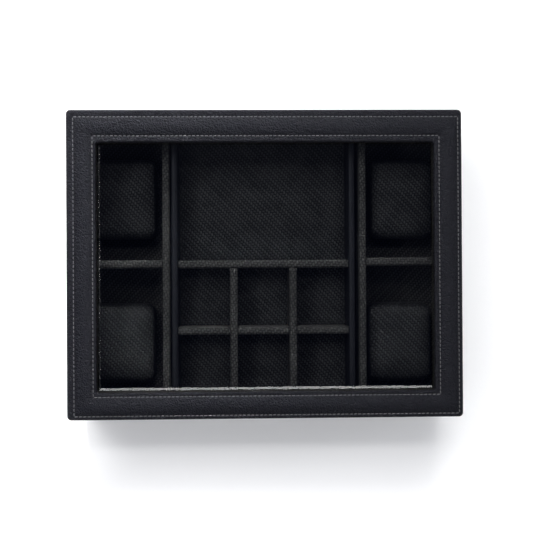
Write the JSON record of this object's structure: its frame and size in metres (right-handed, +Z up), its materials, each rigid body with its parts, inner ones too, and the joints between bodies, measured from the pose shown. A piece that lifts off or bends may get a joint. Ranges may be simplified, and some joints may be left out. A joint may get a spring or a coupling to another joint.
{
  "type": "watch box",
  "caption": "Low leather-covered watch box with a hinged lid that holds a bevelled glass window, side bays with watch pillows, and a lift-out tray of compartments.",
  "frame": {"origin": "centre of the bounding box's underside, on the surface the box stands on", "axes": "+Z up, -Y towards the front edge that is lifted to open the lid, +X to the right seen from the front"},
  "size_m": [0.305, 0.2405, 0.085],
  "materials": {
    "cover_leather": "fine-grained black leather with a soft sheen",
    "tray_leather": "smooth black leather",
    "weave_fabric": "black diagonal weave",
    "pillow_fabric": "coarser black diagonal weave, padded",
    "felt": "black felt",
    "foam": "grey foam",
    "fibreboard": "raw fibreboard",
    "soft_rubber": "black, matt",
    "hinge_metal": "nickel plated, satin",
    "clear_glass": "clear, polished, bevelled"
  },
  "bodies": {
    "base": {"base_back_lining": "weave_fabric", "base_back_wall": "fibreboard", "base_bottom_panel": "fibreboard", "base_floor_lining": "weave_fabric", "base_front_lining": "weave_fabric", "base_front_wall": "fibreboard", "base_hinge_screws": "hinge_metal", "base_leather_cover": "cover_leather", "base_left_lining": "weave_fabric", "base_left_wall": "fibreboard", "base_right_lining": "weave_fabric", "base_right_wall": "fibreboard", "hinge_pins": "hinge_metal", "left_bay_divider": "weave_fabric", "left_hinge_base_leaf": "hinge_metal", "left_partition": "weave_fabric", "right_bay_divider": "weave_fabric", "right_hinge_base_leaf": "hinge_metal", "right_partition": "weave_fabric", "underside_felt": "felt"},
    "lid": {"glass_gasket": "soft_rubber", "glazing_bead_back": "weave_fabric", "glazing_bead_front": "weave_fabric", "glazing_bead_left": "weave_fabric", "glazing_bead_right": "weave_fabric", "left_hinge_lid_leaf": "hinge_metal", "lid_back_rail": "fibreboard", "lid_front_rail": "fibreboard", "lid_hinge_screws": "hinge_metal", "lid_leather_cover": "cover_leather", "lid_left_rail": "fibreboard", "lid_padding": "foam", "lid_right_rail": "fibreboard", "lid_side_lining": "weave_fabric", "lid_top_back": "fibreboard", "lid_top_front": "fibreboard", "lid_top_left": "fibreboard", "lid_top_right": "fibreboard", "right_hinge_lid_leaf": "hinge_metal", "window_glass": "clear_glass"},
    "tray": {"tray_back_wall": "tray_leather", "tray_cell_divider": "weave_fabric", "tray_floor_board": "fibreboard", "tray_floor_pad": "weave_fabric", "tray_front_wall": "tray_leather", "tray_left_long_divider": "weave_fabric", "tray_left_wall": "tray_leather", "tray_main_divider": "weave_fabric", "tray_right_long_divider": "weave_fabric", "tray_right_wall": "tray_leather"},
    "pillow_back_left": {"pillow_back_left_core": "foam", "pillow_back_left_cover": "pillow_fabric"},
    "pillow_back_right": {"pillow_back_right_core": "foam", "pillow_back_right_cover": "pillow_fabric"},
    "pillow_front_left": {"pillow_front_left_core": "foam", "pillow_front_left_cover": "pillow_fabric"},
    "pillow_front_right": {"pillow_front_right_core": "foam", "pillow_front_right_cover": "pillow_fabric"}
  },
  "joints": [
    {"name": "lid_hinge", "type": "hinge", "parent": "base", "child": "lid", "pos_m": [0, 0.11775, 0.063], "axis": [-1, 0, 0], "range_deg": [0, 95]},
    {"name": "tray_lift", "type": "slide", "parent": "base", "child": "tray", "axis": [0, 0, 1], "range_m": [0, 0.011]},
    {"name": "pillow_back_left_lift", "type": "slide", "parent": "base", "child": "pillow_back_left", "axis": [0, 0, 1], "range_m": [0, 0.026]},
    {"name": "pillow_back_right_lift", "type": "slide", "parent": "base", "child": "pillow_back_right", "axis": [0, 0, 1], "range_m": [0, 0.026]},
    {"name": "pillow_front_left_lift", "type": "slide", "parent": "base", "child": "pillow_front_left", "axis": [0, 0, 1], "range_m": [0, 0.026]},
    {"name": "pillow_front_right_lift", "type": "slide", "parent": "base", "child": "pillow_front_right", "axis": [0, 0, 1], "range_m": [0, 0.026]}
  ]
}
